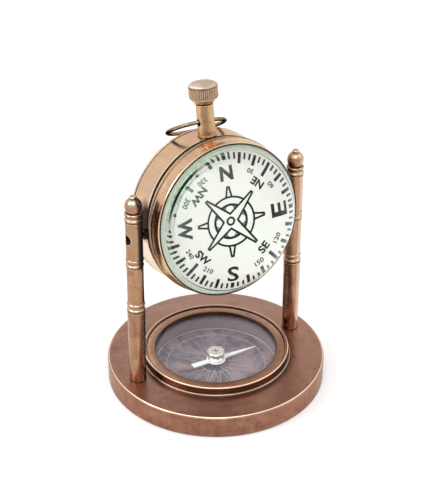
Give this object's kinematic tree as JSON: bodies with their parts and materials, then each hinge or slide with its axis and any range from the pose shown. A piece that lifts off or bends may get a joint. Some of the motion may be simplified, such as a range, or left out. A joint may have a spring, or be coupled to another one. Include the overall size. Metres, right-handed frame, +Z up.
{
  "type": "desk compass",
  "caption": "Desk compass on a turned copper stand: sunken compass in a round base, turned posts and a tilting compass drum with domed lens, stem, knurled crown and hanging ring.",
  "frame": {"origin": "centre of the base disc's underside", "axes": "+Z up, X from post to post along the drum's pivots, the drum's face towards -Y"},
  "size_m": [0.075, 0.075, 0.108],
  "materials": {
    "base_copper": "satin antique copper",
    "post_copper": "polished antique copper",
    "bowl_copper": "satin antique copper",
    "bezel_copper": "satin antique copper",
    "case_brass": "polished copper-toned brass",
    "front_brass": "polished copper-toned brass",
    "stem_brass": "polished antique brass",
    "crown_brass": "knurled antique brass",
    "ring_brass": "tarnished brass wire",
    "plate_brass": "turned brass",
    "hub_brass": "pale polished brass",
    "screw_steel": "plain steel",
    "screw_dark": "darkened steel",
    "pin_steel": "ground steel",
    "magnet_steel": "dark magnet steel",
    "jewel": "polished red bearing",
    "dial_print": "dark printed dial under varnish",
    "card_paper": "white printed card",
    "seat_ring": "pale gasket",
    "needle_paint": "white enamel with a red tail",
    "flat_glass": "clear flat glass",
    "lens_glass": "clear domed glass with a green edge"
  },
  "bodies": {
    "stand": {"base_disc": "base_copper", "left_post": "post_copper", "right_post": "post_copper", "post_screws": "screw_steel", "compass_bowl": "bowl_copper", "compass_dial": "dial_print", "needle_pivot": "pin_steel", "compass_glass": "flat_glass", "bezel_ring": "bezel_copper"},
    "needle": {"compass_needle": "needle_paint", "needle_hub": "hub_brass", "hub_jewel": "jewel"},
    "drum": {"case_barrel": "case_brass", "back_cover": "case_brass", "front_bezel": "front_brass", "lens_seat_ring": "seat_ring", "dome_lens": "lens_glass", "pivot_plate": "plate_brass", "card_pivot": "pin_steel", "left_trunnion_bush": "plate_brass", "right_trunnion_bush": "plate_brass", "left_pivot_screw": "screw_dark", "right_pivot_screw": "screw_dark", "stem": "stem_brass"},
    "card": {"compass_card": "card_paper", "card_hub": "hub_brass", "card_magnets": "magnet_steel"},
    "crown": {"crown_shaft": "stem_brass", "crown_knob": "crown_brass"},
    "ring": {"bow_ring": "ring_brass"}
  },
  "joints": [
    {"name": "drum_swing", "type": "hinge", "parent": "stand", "child": "drum", "pos_m": [0, 0, 0.064], "axis": [1, 0, 0], "continuous": true},
    {"name": "needle_turn", "type": "hinge", "parent": "stand", "child": "needle", "pos_m": [0, 0, 0.005], "axis": [0, 0, 1], "continuous": true},
    {"name": "card_turn", "type": "hinge", "parent": "drum", "child": "card", "pos_m": [0, 0, 0.064], "axis": [0, -0.9863, 0.165], "continuous": true},
    {"name": "crown_turn", "type": "hinge", "parent": "drum", "child": "crown", "pos_m": [0, 0.00168, 0.06372], "axis": [0, 0.165, 0.9863], "continuous": true},
    {"name": "ring_swing", "type": "hinge", "parent": "drum", "child": "ring", "pos_m": [0, 0.00688, 0.09479], "axis": [1, 0, 0], "range_deg": [-4, 231]}
  ]
}
